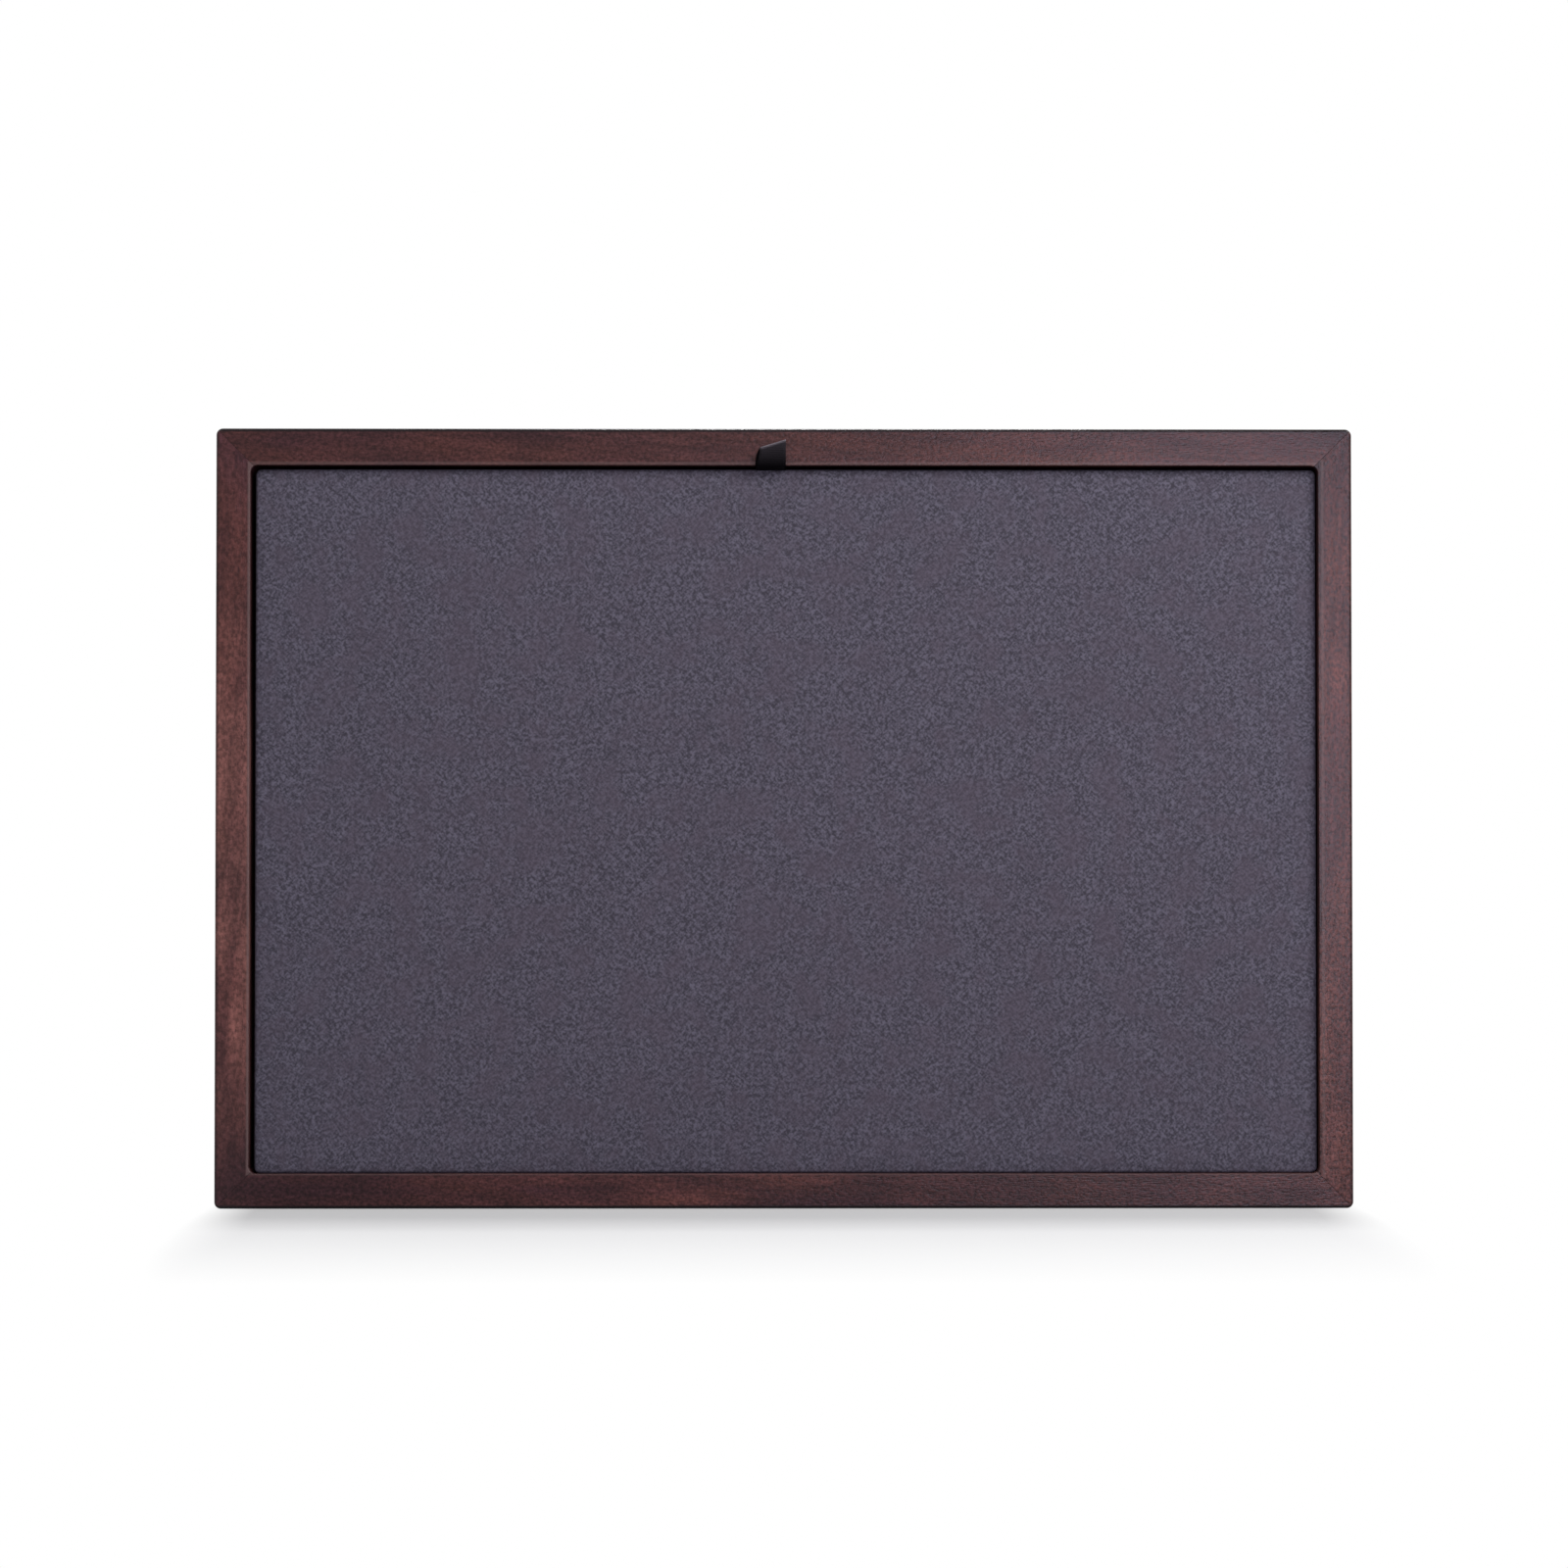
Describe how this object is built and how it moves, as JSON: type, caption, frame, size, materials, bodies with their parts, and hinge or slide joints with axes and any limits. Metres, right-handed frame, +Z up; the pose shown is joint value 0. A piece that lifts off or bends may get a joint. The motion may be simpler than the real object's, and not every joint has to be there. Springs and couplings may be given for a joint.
{
  "type": "jewelry display tray",
  "caption": "Upright framed display tray: a mitred dark wood frame around a flat microfibre pad that pulls out by a ribbon tab.",
  "frame": {"origin": "On the lower face of the bottom rail, at the middle of its length and of its depth: the long edge that the tray stands on.", "axes": "+X to the right along the long rails as seen from the front, +Y from the front to the back of the tray, +Z up along the short rails."},
  "size_m": [0.35, 0.0338, 0.24],
  "materials": {
    "walnut": "dark stained walnut under satin lacquer",
    "spline_wood": "bare beech",
    "fibreboard": "bare fibreboard",
    "pin_steel": "bright wire pins",
    "felt": "black pressed felt",
    "microfibre": "charcoal brushed microfibre",
    "greyboard": "grey pasteboard",
    "foam": "fine closed-cell foam",
    "backing": "black card",
    "ribbon": "black grosgrain ribbon"
  },
  "bodies": {
    "frame": {"top_rail": "walnut", "bottom_rail": "walnut", "left_rail": "walnut", "right_rail": "walnut", "corner_splines": "spline_wood", "base_board": "fibreboard", "base_pins": "pin_steel", "underside_felt": "felt", "well_lining": "microfibre"},
    "pad": {"pad_cover": "microfibre", "face_board": "fibreboard", "foam_core": "foam", "back_board": "greyboard", "backing_sheet": "backing", "ribbon_tails": "ribbon"},
    "tab": {"ribbon_loop": "ribbon"}
  },
  "joints": [
    {"name": "pad_slide", "type": "slide", "parent": "frame", "child": "pad", "axis": [0, -1, 0], "range_m": [0, 0.04]},
    {"name": "tab_flip", "type": "hinge", "parent": "pad", "child": "tab", "pos_m": [-0.0042, -0.0131, 0.2278], "axis": [1, 0, 0], "range_deg": [-4, 90], "stiffness_Nm_per_rad": 0.001}
  ]
}
